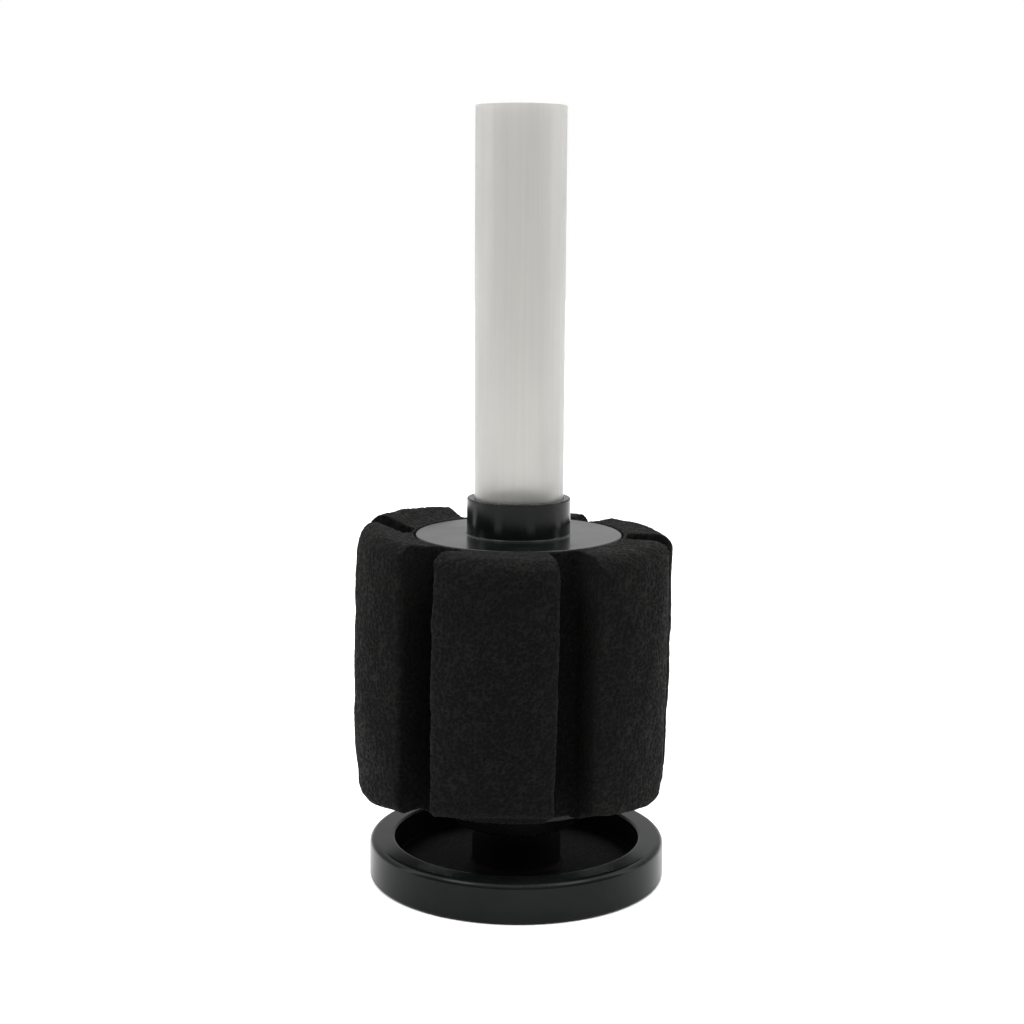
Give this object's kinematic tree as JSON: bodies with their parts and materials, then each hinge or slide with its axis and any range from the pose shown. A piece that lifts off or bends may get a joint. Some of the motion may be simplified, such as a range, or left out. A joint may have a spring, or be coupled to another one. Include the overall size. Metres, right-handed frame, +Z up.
{
  "type": "air-driven sponge filter",
  "caption": "Free-standing aquarium sponge filter: fluted foam cylinder on a weighted round base, with an open lift tube in a collared cap.",
  "frame": {"origin": "centre of the base's underside", "axes": "+Z up along the lift tube, -Y is the front, +X to the right"},
  "size_m": [0.09, 0.0924, 0.2201],
  "materials": {
    "black_gloss_plastic": "glossy injection-moulded black",
    "underplate_plastic": "matte moulded black",
    "core_plastic": "satin moulded black",
    "ballast_steel": "plain cut steel",
    "black_foam": "open-cell foam, coarse pores",
    "frosted_tube": "frosted translucent tube"
  },
  "bodies": {
    "base": {"base_shell": "black_gloss_plastic", "ballast_ring": "ballast_steel", "base_underplate": "underplate_plastic"},
    "core": {"bottom_disc": "black_gloss_plastic", "strainer_core": "core_plastic", "air_nipple": "core_plastic"},
    "sponge": {"foam_sponge": "black_foam"},
    "cap": {"top_cap": "black_gloss_plastic"},
    "tube": {"lift_tube": "frosted_tube"}
  },
  "joints": [
    {"name": "core_lift", "type": "slide", "parent": "base", "child": "core", "axis": [0, 0, 1], "range_m": [0, 0.03]},
    {"name": "cap_lift", "type": "slide", "parent": "core", "child": "cap", "axis": [0, 0, 1], "range_m": [0, 0.1]},
    {"name": "sponge_lift", "type": "slide", "parent": "core", "child": "sponge", "axis": [0, 0, 1], "range_m": [0, 0.08]},
    {"name": "tube_pull", "type": "slide", "parent": "cap", "child": "tube", "axis": [0, 0, 1], "range_m": [0, 0.03]}
  ],
  "couplings": [
    {"joint": "sponge_lift", "follows": "cap_lift", "ratio": 0.8}
  ]
}
